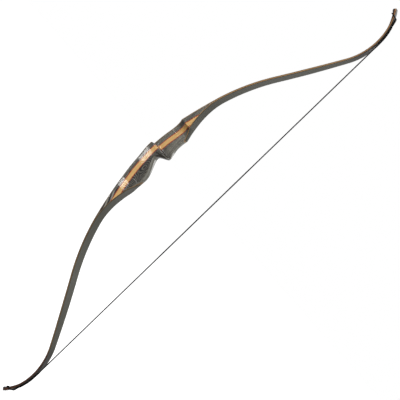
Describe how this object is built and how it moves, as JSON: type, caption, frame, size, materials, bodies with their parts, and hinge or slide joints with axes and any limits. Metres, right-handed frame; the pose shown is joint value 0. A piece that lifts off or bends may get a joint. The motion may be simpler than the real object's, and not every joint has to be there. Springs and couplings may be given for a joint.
{
  "type": "recurve bow",
  "caption": "One-piece laminated recurve bow, right-handed, strung: sculpted wood riser with cut-in sight window and shelf, glass-faced limbs, looped string.",
  "frame": {"origin": "deepest point of the grip throat, on the bow's middle plane and half way between the limb tips", "axes": "+Z to the upper limb tip, +Y to the target (the back of the bow), +X to the archer's right; the string runs along Z on the -Y side and the sight window is cut into the -X side"},
  "size_m": [0.04, 0.2486, 1.456],
  "materials": {
    "riser_wood": "gloss lacquer over grey and black wood laminate",
    "red_veneer": "gloss lacquer",
    "maple": "gloss lacquer",
    "limb_core": "gloss lacquer on the edges",
    "limb_glass": "glass-fibre lamination, satin",
    "tip_wedge": "gloss lacquer",
    "tip_overlay": "gloss",
    "string": "waxed strands",
    "serving": "tightly wound thread"
  },
  "bodies": {
    "riser": {"riser_belly_block": "riser_wood", "riser_belly_veneer": "red_veneer", "riser_stripe": "maple", "riser_back_veneer": "red_veneer", "riser_back_block": "riser_wood", "riser_back_core": "limb_core", "riser_back_glass": "limb_glass", "upper_root_belly_core": "limb_core", "upper_root_belly_glass": "limb_glass", "lower_root_belly_core": "limb_core", "lower_root_belly_glass": "limb_glass"},
    "upper_limb": {"upper_belly_glass": "limb_glass", "upper_belly_core": "limb_core", "upper_back_core": "limb_core", "upper_back_glass": "limb_glass", "upper_tip_wedge": "tip_wedge", "upper_tip_overlay": "tip_overlay", "upper_end_serving": "serving", "upper_string_eye": "serving"},
    "lower_limb": {"lower_belly_glass": "limb_glass", "lower_belly_core": "limb_core", "lower_back_core": "limb_core", "lower_back_glass": "limb_glass", "lower_tip_wedge": "tip_wedge", "lower_tip_overlay": "tip_overlay", "lower_end_serving": "serving", "lower_string_eye": "serving"},
    "upper_string_half": {"upper_string": "string", "upper_center_serving": "serving"},
    "lower_string_half": {"lower_string": "string", "lower_center_serving": "serving"}
  },
  "joints": [
    {"name": "upper_limb_flex", "type": "hinge", "parent": "riser", "child": "upper_limb", "pos_m": [0, -0.06247, 0.35357], "axis": [1, 0, 0], "range_deg": [0, 24.7], "stiffness_Nm_per_rad": 130, "springref_deg": -17.19},
    {"name": "lower_limb_flex", "type": "hinge", "parent": "riser", "child": "lower_limb", "pos_m": [0, -0.06247, -0.35357], "axis": [-1, 0, 0], "range_deg": [0, 24.7], "stiffness_Nm_per_rad": 130, "springref_deg": -17.19},
    {"name": "upper_string_swing", "type": "hinge", "parent": "upper_limb", "child": "upper_string_half", "pos_m": [0, -0.1998, 0.6919], "axis": [-1, 0, 0], "range_deg": [0, 53.4], "deforming": ["upper_center_serving"]},
    {"name": "lower_string_swing", "type": "hinge", "parent": "lower_limb", "child": "lower_string_half", "pos_m": [0, -0.1998, -0.6919], "axis": [1, 0, 0], "range_deg": [0, 53.4], "deforming": ["lower_center_serving"]}
  ],
  "couplings": [
    {"joint": "lower_limb_flex", "follows": "upper_limb_flex", "ratio": 1},
    {"joint": "upper_string_swing", "follows": "upper_limb_flex", "ratio": 2.1617},
    {"joint": "lower_string_swing", "follows": "upper_limb_flex", "ratio": 2.1617}
  ]
}
